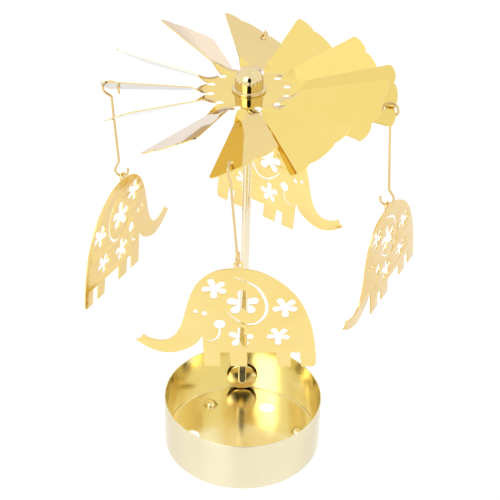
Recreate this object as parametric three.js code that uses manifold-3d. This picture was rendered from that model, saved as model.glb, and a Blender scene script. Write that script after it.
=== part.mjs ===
// Candle carousel: a round tray for one tea light, a thin pole that stands at the tray's rear wall,
// and a fan of twelve slanted blades that turns on the pole's needle in the candle's rising air.
// Four wire hooks hang from every third blade, each with a flat pierced elephant.
// Millimetres, Z up. The origin is the centre of the tray's underside, on the table.
import * as THREE from 'three';
import { mergeVertices } from 'three/addons/utils/BufferGeometryUtils.js';
import Module from 'manifold-3d';

const wasm = await Module();
wasm.setup();

// Clearances
const seatGap = 0.3; // between pieces that rest on or in each other
const cutOverrun = 1.5; // how far a cutting shape runs past what it cuts

// Tray: a drawn sheet cup
const trayRadius = 32.5;
const trayHeight = 23;
const traySheet = 0.5;
const trayCornerRadius = 1.1;
const airHoleRadius = 3.25;
const airHoleCircleRadius = 21.1;
const airHoleAngles = [59, 181.5, 300];
// Nubs, pressed up from below, that keep the tea light in the middle
const nubRadius = 2.9;
const nubHeight = 2.2;
const nubCircleRadius = 23.8;
const nubAngles = [125, 245, 5];
// A nub's domed side, as shares of its radius and height
const nubShares = [[0.97, 0.3], [0.86, 0.62], [0.6, 0.88]];

// Pole: a rod whose lower end bends back through the tray's wall
const poleRadius = 1.75;
const poleWallDistance = 5.5; // from the wall's inside to the pole's axis
const poleBendRadius = 3;
const poleTipBelowCap = 3.6; // from the cap's inside top down to the pole's top
const footWasherRadius = 6.4;
const footWasherSheet = 0.8;
const footWasherCrown = 0.7; // how far its front bulges
const nutAcrossCorners = 7.5;
const nutLength = 2.6;
const nutBoreDepth = 3.6;
const nutTopThickness = 0.9;
const nutDomeStart = 25; // degrees up from the dome's edge, hidden in the hexagon

// Needle and bearing cup, inside the cap
const needleRadius = 0.6;
const needleSeatDepth = 3;
const needleConeLength = 1.6;
const needleTipRadius = 0.15;
const cupRadius = 2.2;
const cupHeight = 2.6;
const cupMouthRadius = 1.5;
const cupRecessDepth = 1.7;

// Fan: one stamped sheet
const fanHeight = 150.4; // middle of the sheet at the hub
const fanSheet = 0.4;
const hubDiscRadius = 14.9;
const bladeCount = 12;
const bladeTipRadius = 56.4;
const scallopDepth = 1.5;
const twistLength = 7.6; // from the disc's edge out to where a blade is flat again
const slitWidth = 1;
const reliefRadius = 1.5;
const neckDiscOverlap = 1.7;
const plateOverlap = 0.8;
const bladePitch = 30; // degrees, counterclockwise edge high
const fanPhase = -2.4; // degrees, where the first blade points in the photographed pose
// How each blade was bent by hand, in degrees: raised, twisted beyond the pitch, turned sideways
const bladeLifts = [0, -1, -1.3, 0, 3, -1.5, 0, 2, 2, 0, 2, 11];
const bladeTwists = [0, 0, 1, 0, 0, 5, 3, 2.8, 0, 0, 0, 0];
const bladeTurns = [0, 0, -1.9, 0, 0, 0, 0, 0, 0, 0, 0, 0];
const neckThicknessShare = 0.9;
const rootThicknessShare = 0.96;
// Each scallop of a blade's outer edge: centre and half width, as shares of the blade's half angle
const scallopShares = [[-0.71, 0.29], [0, 0.42], [0.71, 0.29]];

// Cap and bush that clamp the sheet between them
const capRadius = 5.4;
const capWall = 0.5;
const capSkirtHeight = 3.7;
const capFlangeRadius = 6.55;
const capFlangeSheet = 0.6;
const bushFlangeRadius = 6;
const bushFlangeSheet = 0.6;
const bushWall = 0.8;
const bushRise = 1.4; // how far the bush stands above the sheet, inside the cap

// Hooks: bent wire
const hookWireRadius = 0.5;
const hookHoleRadius = 1.25;
const hookHoleEdge = 4.2; // from the hole's centre to the notch in the blade's edge
const hookUpperWidth = 6.1;
const hookLoopRise = 1.8; // from the sheet to the wire's centre at the loop's top
const hookUpperTail = 3.2; // short end's length below the sheet
const hookShankOffset = 3.1;
const hookShankTopDrop = 6.6;
const hookCrookOffset = 2.4; // where the lower crook is lowest
const hookCrookRadius = 2.6;
const hookCrookStart = 30; // degrees
const hookLowerHeight = 6.8;
const hookLowerEndRise = 3.7;
const hookDrop = 41.9; // from the loop's top to the lower crook's lowest wire centre

// Elephants: flat sheet, pierced
const bladesPerPendant = 3;
const elephantLength = 68.6;
const elephantHeight = 45.3; // feet to back, without the tab
const elephantSheet = 0.5;
const tabRadius = 1.9;
const tabRise = 1.6; // tab's centre above the back
const tabHoleRadius = 1.1;
const tabLengthShare = 0.557; // where the tab stands along the elephant
const earLineWidth = 1.2;
const cheekRadius = 2.2;
const smileWidth = 0.9;
// How the hooks and elephants hang in the photographed pose, in degrees: right, back, left, front
const hookSwings = [4, -6, -4, 2.5]; // outward
const hookLeans = [-8, -8, 0, 5.8]; // to the side, counterclockwise
const pendantTurns = [-26.5, -36, -24, 3]; // about the vertical, from the fan's tangent
const pendantRocks = [5.5, 0.5, 2, 0]; // about the wire, rear up

// Outlines of an elephant, as shares of its length and height, trunk at the left
const backShares = [[0.602, 0.995], [0.655, 0.98], [0.71, 0.943], [0.775, 0.88], [0.837, 0.796],
  [0.894, 0.686], [0.935, 0.559], [0.967, 0.415], [0.989, 0.236], [0.999, 0.097]];
const feetShares = [[1, 0.03], [0.985, 0], [0.918, 0], [0.908, 0.15], [0.856, 0.15],
  [0.862, 0], [0.788, 0], [0.774, 0.148], [0.613, 0.146], [0.618, 0],
  [0.528, 0], [0.516, 0.145], [0.466, 0.144], [0.468, 0], [0.381, 0],
  [0.374, 0.135], [0.367, 0.318]];
const chinShares = [[0.345, 0.262], [0.318, 0.219], [0.257, 0.168], [0.174, 0.143], [0.096, 0.177],
  [0.041, 0.228], [0, 0.28]];
const trunkTipShares = [[0.023, 0.285], [0.043, 0.332]];
const browShares = [[0.07, 0.3], [0.136, 0.27], [0.197, 0.296], [0.236, 0.376], [0.258, 0.47],
  [0.28, 0.615], [0.302, 0.737], [0.335, 0.844], [0.383, 0.925], [0.436, 0.975], [0.506, 0.999]];
// Half the width and half the height of each flower, as shares of the elephant's length and height
const flowerSizeShares = [[0.0685, 0.1038], [0.0889, 0.1347], [0.07, 0.106],
  [0.0641, 0.0971], [0.0714, 0.1082]];
const flowerPlaceShares = [[0.429, 0.801], [0.585, 0.658], [0.814, 0.618], [0.785, 0.321],
  [0.578, 0.305]];
const flowerPetalAngles = [[111, 36, -20, -92, 185], [95, 14, -45, -130, 170], [122, 42, -14, -85, 195],
  [124, 49, -11, -90, 186], [90, 5, -60, -125, 158]];
// Half a petal from its flank to its tip: angle in degrees, then share of the flower's radius
const petalShares = [[-27, 0.58], [-17, 0.88], [0, 1], [17, 0.88], [27, 0.58]];
const petalValleyShare = 0.37;
const earLineShares = [[0.525, 0.918], [0.56, 0.899], [0.603, 0.87], [0.658, 0.817], [0.697, 0.727],
  [0.716, 0.626], [0.704, 0.523], [0.664, 0.454], [0.626, 0.438], [0.587, 0.452], [0.543, 0.498],
  [0.498, 0.569]];
const eyeShares = [[0.329, 0.57], [0.378, 0.55]];
const eyeSizeShares = [[0.0117, 0.0221], [0.014, 0.0265]];
const cheekShares = [0.461, 0.439];
const smileShares = [[0.461, 0.4], [0.462, 0.36], [0.45, 0.3], [0.424, 0.268], [0.385, 0.264]];

// Facet counts
const traySideCount = 56;
const roundSideCount = 24;
const poleSideCount = 16;
const wireSideCount = 8;
const wireStepCount = 80;

// Sizes that follow from the ones above
const radians = Math.PI / 180;
const trayInnerRadius = trayRadius - traySheet;
const poleY = trayInnerRadius - poleWallDistance;
const footZ = traySheet + seatGap + footWasherRadius;
const boreRadius = poleRadius + seatGap;
const washerBackY = Math.sqrt((trayInnerRadius - seatGap) ** 2 - footWasherRadius ** 2);
const nutY = trayRadius + seatGap;
const poleEndY = nutY + nutBoreDepth - seatGap;
const sheetTopZ = fanHeight + fanSheet / 2;
const sheetBottomZ = fanHeight - fanSheet / 2;
const capBottomZ = sheetTopZ + seatGap;
const capDomeZ = capBottomZ + capSkirtHeight;
const capInnerRadius = capRadius - capWall;
const capInnerTopZ = capDomeZ + capInnerRadius;
const bushOuterRadius = capInnerRadius - seatGap;
const fanBoreRadius = bushOuterRadius + seatGap;
const bladeNotchRadius = bladeTipRadius - scallopDepth;
const bladeStartRadius = hubDiscRadius + reliefRadius;
const twistEndRadius = hubDiscRadius + twistLength;
const neckStartRadius = hubDiscRadius - neckDiscOverlap;
const neckEndRadius = bladeStartRadius + plateOverlap;
const poleTopZ = capInnerTopZ - poleTipBelowCap - needleConeLength;
const cupDomeRadius = capInnerRadius - seatGap;
const cupBottomZ = capDomeZ + cupDomeRadius - cupHeight;
const needleTipZ = cupBottomZ + cupRecessDepth - seatGap;
const bladeStep = 360 / bladeCount;
const halfBladeAngle = bladeStep / 2 - Math.asin(slitWidth / 2 / bladeTipRadius) / radians;
const hookHoleRadiusAt = bladeNotchRadius - hookHoleEdge;
const notchAngle = -scallopShares[1][1] * halfBladeAngle;
const tabCentreZ = elephantHeight + tabRise;
const tabTopGap = seatGap + hookWireRadius - tabHoleRadius;

// Welds a geometry's vertices and drops triangles that have no area
function weld(geometry) {
  const bare = geometry.clone();
  bare.deleteAttribute('normal');
  bare.deleteAttribute('uv');
  const merged = mergeVertices(bare, 1e-5);
  const index = merged.index.array;
  const kept = [];
  for (let i = 0; i < index.length; i += 3) {
    const [a, b, c] = [index[i], index[i + 1], index[i + 2]];
    if (a !== b && b !== c && c !== a) kept.push(a, b, c);
  }
  merged.setIndex(kept);
  return merged;
}

function toSolid(geometry) {
  const welded = weld(geometry);
  return new wasm.Manifold(new wasm.Mesh({
    numProp: 3,
    vertProperties: new Float32Array(welded.attributes.position.array),
    triVerts: new Uint32Array(welded.index.array),
  }));
}

function toGeometry(solid) {
  const mesh = solid.getMesh();
  const geometry = new THREE.BufferGeometry();
  geometry.setAttribute('position', new THREE.BufferAttribute(new Float32Array(mesh.vertProperties), 3));
  geometry.setIndex(new THREE.BufferAttribute(new Uint32Array(mesh.triVerts), 1));
  geometry.computeVertexNormals();
  return geometry;
}

// Turns a profile of [radius, height] about the Z axis. The profile runs up the outside.
function turned(profile, segments) {
  const points = profile.map(([radius, height]) => new THREE.Vector2(radius, height));
  return weld(new THREE.LatheGeometry(points, segments).rotateX(Math.PI / 2));
}

// An upright cylinder from one height to another
function post(radius, bottom, top, segments) {
  return new THREE.CylinderGeometry(radius, radius, top - bottom, segments)
    .rotateX(Math.PI / 2).translate(0, 0, (top + bottom) / 2);
}

// A cylinder along Y from one depth to another, at a height
function crossPost(radius, front, back, height, segments) {
  return new THREE.CylinderGeometry(radius, radius, back - front, segments)
    .translate(0, (front + back) / 2, height);
}

// Points of an arc in a profile, as [radius, height]
function arc(centreRadius, centreHeight, radius, from, to, steps) {
  const points = [];
  for (let i = 0; i <= steps; i += 1) {
    const angle = (from + (to - from) * i / steps) * radians;
    points.push([centreRadius + radius * Math.cos(angle), centreHeight + radius * Math.sin(angle)]);
  }
  return points;
}

function polar(radius, angle) {
  return [radius * Math.cos(angle * radians), radius * Math.sin(angle * radians)];
}

function makeTray() {
  const innerCorner = trayCornerRadius - traySheet;
  const cornerCentre = trayRadius - trayCornerRadius;
  const shell = toSolid(turned([
    [0, 0],
    ...arc(cornerCentre, trayCornerRadius, trayCornerRadius, -90, 0, 4),
    ...arc(trayRadius - traySheet / 2, trayHeight - traySheet / 2, traySheet / 2, 0, 180, 3),
    ...arc(cornerCentre, trayCornerRadius, innerCorner, 0, -90, 3),
    [0, traySheet],
  ], traySideCount));
  let tray = shell;
  for (const angle of nubAngles) {
    const [x, y] = polar(nubCircleRadius, angle);
    const dome = (radius, height, base) => toSolid(turned([
      [0, base],
      [radius, base],
      ...nubShares.map(([radiusShare, heightShare]) => [radius * radiusShare, base + height * heightShare]),
      [0, base + height],
    ], 14).translate(x, y, 0));
    tray = tray.add(dome(nubRadius, nubHeight + traySheet / 2, traySheet / 2));
    tray = tray.subtract(dome(nubRadius - traySheet, nubHeight + cutOverrun, -cutOverrun));
  }
  for (const angle of airHoleAngles) {
    const [x, y] = polar(airHoleCircleRadius, angle);
    tray = tray.subtract(toSolid(post(airHoleRadius, -cutOverrun, traySheet + cutOverrun, roundSideCount)
      .translate(x, y, 0)));
  }
  return toGeometry(tray.subtract(toSolid(
    crossPost(boreRadius, trayInnerRadius - cutOverrun, trayRadius + cutOverrun, footZ, poleSideCount))));
}

function makePole() {
  const bendStartY = poleY + poleBendRadius;
  const bendTopZ = footZ + poleBendRadius;
  const section = new THREE.Shape();
  for (let i = 0; i < poleSideCount; i += 1) {
    const [x, y] = polar(poleRadius, 360 * i / poleSideCount);
    if (i === 0) section.moveTo(x, y);
    else section.lineTo(x, y);
  }
  const bendPath = new THREE.CatmullRomCurve3(Array.from({ length: 9 }, (_, i) => {
    const [back, down] = polar(poleBendRadius, 90 * i / 8);
    return new THREE.Vector3(0, bendStartY - back, bendTopZ - down);
  }));
  const bend = toSolid(new THREE.ExtrudeGeometry(section, { steps: 8, extrudePath: bendPath }));
  const bendOverlap = poleRadius / 10;
  const upright = toSolid(post(poleRadius, bendTopZ - bendOverlap, poleTopZ, poleSideCount)
    .translate(0, poleY, 0));
  const tail = toSolid(crossPost(poleRadius, bendStartY - bendOverlap, poleEndY, footZ, poleSideCount));
  const needleBore = toSolid(post(needleRadius + seatGap, poleTopZ - needleSeatDepth - seatGap,
    poleTopZ + cutOverrun, poleSideCount).translate(0, poleY, 0));
  return toGeometry(bend.add(upright).add(tail).subtract(needleBore));
}

function makeNeedle() {
  return turned([
    [0, poleTopZ - needleSeatDepth],
    [needleRadius, poleTopZ - needleSeatDepth],
    [needleRadius, needleTipZ - needleConeLength],
    [needleTipRadius, needleTipZ - needleTipRadius / 2],
    [0, needleTipZ],
  ], poleSideCount).translate(0, poleY, 0);
}

function makeFootWasher() {
  const steps = 4;
  const front = Array.from({ length: steps + 1 }, (_, i) => {
    const radius = boreRadius + (footWasherRadius - boreRadius) * i / steps;
    const bulge = footWasherCrown * (1 - (radius / footWasherRadius) ** 2);
    return [radius, washerBackY - footWasherSheet - bulge];
  });
  return turned([...front, [footWasherRadius, washerBackY], [boreRadius, washerBackY], front[0]],
    2 * roundSideCount).rotateX(-Math.PI / 2).translate(0, 0, footZ);
}

function makeFootNut() {
  const domeRadius = boreRadius + nutTopThickness;
  const hexagon = toSolid(crossPost(nutAcrossCorners / 2, nutY, nutY + nutLength, footZ, 6));
  const dome = toSolid(turned([
    [0, nutY + nutLength / 2],
    [domeRadius, nutY + nutLength / 2],
    [domeRadius, nutY + nutLength],
    ...arc(0, nutY + nutBoreDepth + nutTopThickness - domeRadius, domeRadius, nutDomeStart, 90, 5),
  ], roundSideCount).rotateX(-Math.PI / 2).translate(0, 0, footZ));
  const bore = toSolid(crossPost(boreRadius, nutY - cutOverrun, nutY + nutBoreDepth, footZ, poleSideCount));
  return toGeometry(hexagon.add(dome).subtract(bore));
}

function makeCap() {
  return turned([
    [capInnerRadius, capBottomZ],
    [capFlangeRadius, capBottomZ],
    [capFlangeRadius, capBottomZ + capFlangeSheet],
    [capRadius, capBottomZ + capFlangeSheet],
    ...arc(0, capDomeZ, capRadius, 0, 90, 8),
    ...arc(0, capDomeZ, capInnerRadius, 90, 0, 6),
    [capInnerRadius, capBottomZ],
  ], roundSideCount);
}

function makeCup() {
  const edge = Math.acos(cupRadius / cupDomeRadius) / radians;
  return turned([
    [cupMouthRadius, cupBottomZ],
    [cupRadius, cupBottomZ],
    ...arc(0, capDomeZ, cupDomeRadius, edge, 90, 3),
    [0, cupBottomZ + cupRecessDepth],
    [cupMouthRadius, cupBottomZ],
  ], poleSideCount);
}

function makeBush() {
  const flangeTopZ = sheetBottomZ - seatGap;
  const boreEdge = bushOuterRadius - bushWall;
  return turned([
    [boreEdge, flangeTopZ - bushFlangeSheet],
    [bushFlangeRadius, flangeTopZ - bushFlangeSheet],
    [bushFlangeRadius, flangeTopZ],
    [bushOuterRadius, flangeTopZ],
    [bushOuterRadius, sheetTopZ + bushRise],
    [boreEdge, sheetTopZ + bushRise],
    [boreEdge, flangeTopZ - bushFlangeSheet],
  ], roundSideCount);
}

// Bends flat sheet that lies along X to a blade's pitch, lift and sideways turn
function bendBlade(geometry, blade) {
  const position = geometry.attributes.position;
  for (let i = 0; i < position.count; i += 1) {
    const x = position.getX(i);
    const along = Math.min(1, Math.max(0, (x - hubDiscRadius) / twistLength));
    const pitch = (bladePitch + bladeTwists[blade]) * along * along * (3 - 2 * along) * radians;
    const y = position.getY(i) * Math.cos(pitch) - position.getZ(i) * Math.sin(pitch);
    const z = position.getY(i) * Math.sin(pitch) + position.getZ(i) * Math.cos(pitch);
    const reach = Math.max(0, x - neckStartRadius);
    const raised = reach > 0 ? bladeLifts[blade] * radians : 0;
    const outward = reach * Math.cos(raised) - z * Math.sin(raised);
    const turned = reach > 0 ? bladeTurns[blade] * radians : 0;
    position.setXYZ(i, Math.min(x, neckStartRadius) + outward * Math.cos(turned) - y * Math.sin(turned),
      outward * Math.sin(turned) + y * Math.cos(turned), reach * Math.sin(raised) + z * Math.cos(raised));
  }
  return geometry;
}

// Half of a flat blade's width at a radius, between its straight slit edges
function halfBladeWidth(x) {
  return x * Math.tan(halfBladeAngle * radians) - slitWidth / 2;
}

// The tapering part of a blade in which it twists
function bladeRoot() {
  const length = twistEndRadius + plateOverlap - bladeStartRadius;
  const root = new THREE.BoxGeometry(length, 2, fanSheet * rootThicknessShare, 12, 2, 1)
    .translate(bladeStartRadius + length / 2, 0, 0);
  const position = root.attributes.position;
  for (let i = 0; i < position.count; i += 1) {
    position.setY(i, position.getY(i) * rootThicknessShare * halfBladeWidth(position.getX(i)));
  }
  return root;
}

// A blade's flat outline: straight slit edges and three scallops at the outer end
function bladeShape(hasHook) {
  const shape = new THREE.Shape();
  shape.moveTo(twistEndRadius, -halfBladeWidth(twistEndRadius));
  for (const [centreShare, widthShare] of scallopShares) {
    const steps = widthShare > 0.4 ? 8 : 6;
    for (let i = 0; i <= steps; i += 1) {
      const across = -Math.cos(Math.PI * i / steps);
      const radius = bladeNotchRadius + scallopDepth * Math.sqrt(1 - across * across);
      shape.lineTo(...polar(radius, (centreShare + widthShare * across) * halfBladeAngle));
    }
  }
  shape.lineTo(twistEndRadius, halfBladeWidth(twistEndRadius));
  if (hasHook) {
    const hole = new THREE.Path();
    hole.absarc(...polar(hookHoleRadiusAt, notchAngle), hookHoleRadius, 0, 2 * Math.PI);
    shape.holes.push(hole);
  }
  return shape;
}

function makeFan() {
  const neckWidth = 2 * (hubDiscRadius * Math.sin(Math.PI / bladeCount) - reliefRadius);
  const neckLength = neckEndRadius - neckStartRadius;
  let fan = toSolid(post(hubDiscRadius, sheetBottomZ, sheetTopZ, 2 * roundSideCount));
  for (let i = 0; i < bladeCount; i += 1) {
    const angle = bladeStep * i;
    const flat = new THREE.ExtrudeGeometry(bladeShape(i % bladesPerPendant === 0),
      { depth: fanSheet, bevelEnabled: false, curveSegments: 8 }).translate(0, 0, -fanSheet / 2);
    const neck = new THREE.BoxGeometry(neckLength, neckWidth, fanSheet * neckThicknessShare, 8, 2, 1)
      .translate(neckStartRadius + neckLength / 2, 0, 0);
    for (const plate of [flat, bladeRoot(), neck]) {
      fan = fan.add(toSolid(bendBlade(plate, i).rotateZ(angle * radians)
        .translate(0, 0, fanHeight)));
    }
    const [x, y] = polar(hubDiscRadius, angle + bladeStep / 2);
    fan = fan.subtract(toSolid(post(reliefRadius, sheetBottomZ - cutOverrun, sheetTopZ + cutOverrun, 12)
      .translate(x, y, 0)));
  }
  return toGeometry(fan.subtract(toSolid(post(fanBoreRadius, sheetBottomZ - cutOverrun,
    sheetTopZ + cutOverrun, roundSideCount))));
}

// Where a hook's hole lies on a blade, from the fan's centre
function hookHolePlace(blade) {
  const [along, across] = polar(hookHoleRadiusAt, notchAngle);
  const pitch = (bladePitch + bladeTwists[blade]) * radians;
  return new THREE.Vector3(along, across * Math.cos(pitch), across * Math.sin(pitch))
    .applyAxisAngle(new THREE.Vector3(0, 0, 1), bladeStep * blade * radians);
}

// The hook lies in the XZ plane, X pointing outward, with its origin in the blade's hole
const hookLoopRadius = hookUpperWidth / 2;
const hookTopZ = fanSheet / 2 + hookLoopRise;
const hookBottomZ = hookTopZ - hookDrop;
const hookRest = new THREE.Vector3(hookLoopRadius, 0, fanSheet / 2 + 2 * seatGap);

function makeHook() {
  const shankBottomZ = hookBottomZ + hookLowerHeight;
  const route = [
    [0, -hookUpperTail],
    ...arc(hookLoopRadius, hookTopZ - hookLoopRadius, hookLoopRadius, 180, -20, 8),
    [hookShankOffset, hookTopZ - hookShankTopDrop],
    [hookShankOffset, hookTopZ - hookShankTopDrop - 2 * hookWireRadius],
    [hookShankOffset, (hookTopZ + hookBottomZ) / 2],
    [hookShankOffset, shankBottomZ + 2 * hookWireRadius],
    [hookShankOffset, shankBottomZ],
    ...arc(hookCrookOffset, hookBottomZ + hookCrookRadius, hookCrookRadius, hookCrookStart, -180, 10),
    [hookCrookOffset - hookCrookRadius, hookBottomZ + hookLowerEndRise],
  ].map(([x, z]) => new THREE.Vector3(x, 0, z));
  const section = new THREE.Shape();
  for (let i = 0; i < wireSideCount; i += 1) {
    const [x, y] = polar(hookWireRadius, 360 * (i + 0.5) / wireSideCount);
    if (i === 0) section.moveTo(x, y);
    else section.lineTo(x, y);
  }
  return weld(new THREE.ExtrudeGeometry(section,
    { steps: wireStepCount, extrudePath: new THREE.CatmullRomCurve3(route, false, 'centripetal') }));
}

// A point of the elephant's outline from its shares
function onElephant([lengthShare, heightShare]) {
  return new THREE.Vector2(lengthShare * elephantLength, heightShare * elephantHeight);
}

// A closed path around a line of varying width, thin at its ends
function stroke(shares, width, endWidthShare) {
  const curve = new THREE.SplineCurve(shares.map(onElephant));
  const steps = shares.length + 2;
  const sides = [[], []];
  for (let i = 0; i <= steps; i += 1) {
    const point = curve.getPoint(i / steps);
    const across = curve.getTangent(i / steps).rotateAround(new THREE.Vector2(), Math.PI / 2);
    const half = width / 2 * (endWidthShare + (1 - endWidthShare) * Math.sin(Math.PI * i / steps));
    sides[0].push(point.clone().addScaledVector(across, half));
    sides[1].unshift(point.clone().addScaledVector(across, -half));
  }
  return new THREE.Path([...sides[0], ...sides[1]]);
}

function flower(index) {
  const centre = onElephant(flowerPlaceShares[index]);
  const petals = [...flowerPetalAngles[index]].map((angle) => (angle + 720) % 360).sort((a, b) => a - b);
  const points = [];
  const addPoint = (radiusShare, angle) => {
    const [x, y] = polar(radiusShare, angle);
    const [widthShare, heightShare] = flowerSizeShares[index];
    points.push(onElephant([x * widthShare, y * heightShare]).add(centre));
  };
  petals.forEach((petal, i) => {
    for (const [turn, radiusShare] of petalShares) addPoint(radiusShare, petal + turn);
    const next = i + 1 < petals.length ? petals[i + 1] : petals[0] + 360;
    addPoint(petalValleyShare, (petal + next) / 2);
  });
  return new THREE.Path(points);
}

function ellipse(centre, radiusX, radiusY, segments) {
  const points = [];
  for (let i = 0; i < segments; i += 1) {
    const [x, y] = polar(1, 360 * i / segments);
    points.push(new THREE.Vector2(centre.x + radiusX * x, centre.y + radiusY * y));
  }
  return new THREE.Path(points);
}

function makeElephant() {
  const tabX = tabLengthShare * elephantLength;
  const tabFoot = Math.acos(Math.min(1, tabRise / tabRadius)) / radians;
  const smooth = (shares, steps) => new THREE.SplineCurve(shares.map(onElephant)).getPoints(steps);
  const outline = [
    ...smooth(browShares, 16),
    ...Array.from({ length: 9 }, (_, i) => {
      const [x, y] = polar(tabRadius, 270 - tabFoot - (360 - 2 * tabFoot) * i / 8);
      return new THREE.Vector2(tabX + x, tabCentreZ + y);
    }),
    ...smooth(backShares, 14),
    ...feetShares.map(onElephant),
    ...smooth(chinShares, 9),
    ...trunkTipShares.map(onElephant),
  ].reverse();
  const shape = new THREE.Shape(outline);
  const tabCentre = new THREE.Vector2(tabX, tabCentreZ);
  shape.holes.push(ellipse(tabCentre, tabHoleRadius, tabHoleRadius, 10));
  flowerSizeShares.forEach((_, i) => shape.holes.push(flower(i)));
  eyeShares.forEach((place, i) => {
    const size = onElephant(eyeSizeShares[i]);
    shape.holes.push(ellipse(onElephant(place), size.x, size.y, 8));
  });
  shape.holes.push(stroke(earLineShares, earLineWidth, 0.3));
  const sheet = new THREE.ExtrudeGeometry(shape, { depth: elephantSheet, bevelEnabled: false });
  const place = (geometry) => geometry.translate(-tabX, -tabCentreZ, -elephantSheet / 2)
    .rotateX(Math.PI / 2);
  const cut = (path) => toSolid(place(new THREE.ExtrudeGeometry(new THREE.Shape(path.getPoints()),
    { depth: elephantSheet + 2 * cutOverrun, bevelEnabled: false }).translate(0, 0, -cutOverrun)));
  const cheek = cut(ellipse(onElephant(cheekShares), cheekRadius, cheekRadius, 12));
  const smile = cut(stroke(smileShares, smileWidth, 0.6));
  return toGeometry(toSolid(place(sheet)).subtract(cheek.add(smile)));
}

const finishes = {
  polished: { color: 0xe6c464, roughness: 0.12, metalness: 1 },
  fan: { color: 0xf0d27c, roughness: 0.15, metalness: 1 },
  pendant: { color: 0xf3d68a, roughness: 0.3, metalness: 1 },
  wire: { color: 0xe4bd84, roughness: 0.25, metalness: 1 },
  steel: { color: 0xb9bcc0, roughness: 0.25, metalness: 1 },
};

function piece(name, geometry, finish) {
  const mesh = new THREE.Mesh(geometry, new THREE.MeshStandardMaterial(finishes[finish]));
  mesh.name = name;
  return mesh;
}

const carousel = new THREE.Group();
carousel.add(
  piece('tray', makeTray(), 'polished'),
  piece('foot_washer', makeFootWasher(), 'polished'),
  piece('foot_nut', makeFootNut(), 'polished'),
  piece('pole', makePole(), 'polished'),
  piece('pivot_needle', makeNeedle(), 'steel'),
);

const rotor = new THREE.Group();
rotor.position.set(0, poleY, 0);
rotor.rotation.z = fanPhase * radians;
rotor.add(
  piece('fan_rotor', makeFan(), 'fan'),
  piece('hub_cap', makeCap(), 'polished'),
  piece('bearing_cup', makeCup(), 'steel'),
  piece('hub_bush', makeBush(), 'polished'),
);

const hookGeometry = makeHook();
const elephantGeometry = makeElephant();
['right', 'back', 'left', 'front'].forEach((side, i) => {
  const pendant = new THREE.Group();
  const blade = bladesPerPendant * i;
  pendant.position.copy(hookHolePlace(blade)).add(new THREE.Vector3(0, 0, fanHeight));
  pendant.rotation.z = (bladeStep * blade + notchAngle) * radians;
  const sway = new THREE.Euler(hookLeans[i] * radians, -hookSwings[i] * radians, 0);
  const hook = piece(`hook_${side}`, hookGeometry, 'wire');
  hook.rotation.copy(sway);
  hook.position.copy(hookRest).sub(hookRest.clone().applyEuler(sway));
  const elephant = piece(`elephant_${side}`, elephantGeometry, 'pendant');
  elephant.position.set(hookCrookOffset, 0, hookBottomZ).applyEuler(sway).add(hook.position);
  elephant.position.z += tabTopGap;
  elephant.rotation.set(0, -pendantRocks[i] * radians, (90 - notchAngle + pendantTurns[i]) * radians, 'ZYX');
  pendant.add(hook, elephant);
  rotor.add(pendant);
});
carousel.add(rotor);

export default carousel;
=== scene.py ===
# %% [markdown]
# # Candle carousel
# A brass-coloured tray for one tea light, a thin pole at its rear wall, and a fan of twelve slanted blades
# that turns in the candle's rising air. Four wire hooks hang from the fan, each with a pierced elephant.
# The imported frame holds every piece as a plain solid, at its true size and place. Each piece is made again
# here in that same place, with its fine edges and its finish, and stands in for its solid. No object is
# moved afterwards, so the joints carry the finished pieces just as they carry the solids.
# Lengths are millimetres, as on a drawing, and MM turns them into Blender's metres.

import math

import bmesh
import bpy
from mathutils import Matrix, Vector


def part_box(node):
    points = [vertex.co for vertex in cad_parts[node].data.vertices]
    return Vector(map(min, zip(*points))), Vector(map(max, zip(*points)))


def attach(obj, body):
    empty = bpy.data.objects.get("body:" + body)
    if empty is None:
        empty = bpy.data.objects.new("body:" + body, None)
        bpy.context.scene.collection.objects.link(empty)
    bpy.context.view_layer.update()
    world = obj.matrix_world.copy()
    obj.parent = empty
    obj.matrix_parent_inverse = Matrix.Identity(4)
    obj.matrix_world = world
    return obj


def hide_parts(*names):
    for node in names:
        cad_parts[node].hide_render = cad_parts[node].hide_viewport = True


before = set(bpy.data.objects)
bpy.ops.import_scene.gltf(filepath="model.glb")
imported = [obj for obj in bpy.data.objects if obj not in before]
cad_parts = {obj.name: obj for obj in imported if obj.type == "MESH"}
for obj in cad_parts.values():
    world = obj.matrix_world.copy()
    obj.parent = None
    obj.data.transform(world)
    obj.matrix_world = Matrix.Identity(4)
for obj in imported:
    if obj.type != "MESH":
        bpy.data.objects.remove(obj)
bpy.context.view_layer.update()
MM = 0.001
GAP = 0.3  # what the frame's solids keep free between two pieces that touch
TINY = 0.0001  # points closer than this are one point
radians = math.radians

# %% [markdown]
# ## Metal finishes
# Tray, fan, pendants, wires and pole are all polished brass or brass plate, yet each has its own tone, as
# sheet, wire and plating take the polish differently. A metal could be one colour with one roughness, but
# it would look like foil: real plating has faint smears, and thin sheet is never quite flat. So every
# finish mixes two near colours by a soft noise, lets the roughness wander between two values and bends
# the reflections with a very slight bump. The noise reads Object coordinates, so it stays on its piece.

# %% Helpers for a node tree
def add_node(tree, kind, **inputs):
    """A node with its inputs set by name, an underscore standing for a space."""
    node = tree.nodes.new(kind)
    for name, value in inputs.items():
        node.inputs[name.replace("_", " ")].default_value = value
    return node


def noise(tree, place, scale, detail=3.0):
    """Soft clouds of noise: the larger the scale, the smaller the clouds."""
    node = add_node(tree, "ShaderNodeTexNoise", Scale=scale, Detail=detail)
    tree.links.new(place, node.inputs["Vector"])
    return node.outputs["Fac"]


def map_range(tree, value, to_low, to_high, from_low=0.3, from_high=0.7):
    """Carries a range over to another one. Most of a noise lies between 0.3 and 0.7."""
    node = tree.nodes.new("ShaderNodeMapRange")
    for i, end in enumerate((from_low, from_high, to_low, to_high)):
        node.inputs[i + 1].default_value = end
    tree.links.new(value, node.inputs[0])
    return node.outputs[0]


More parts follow.
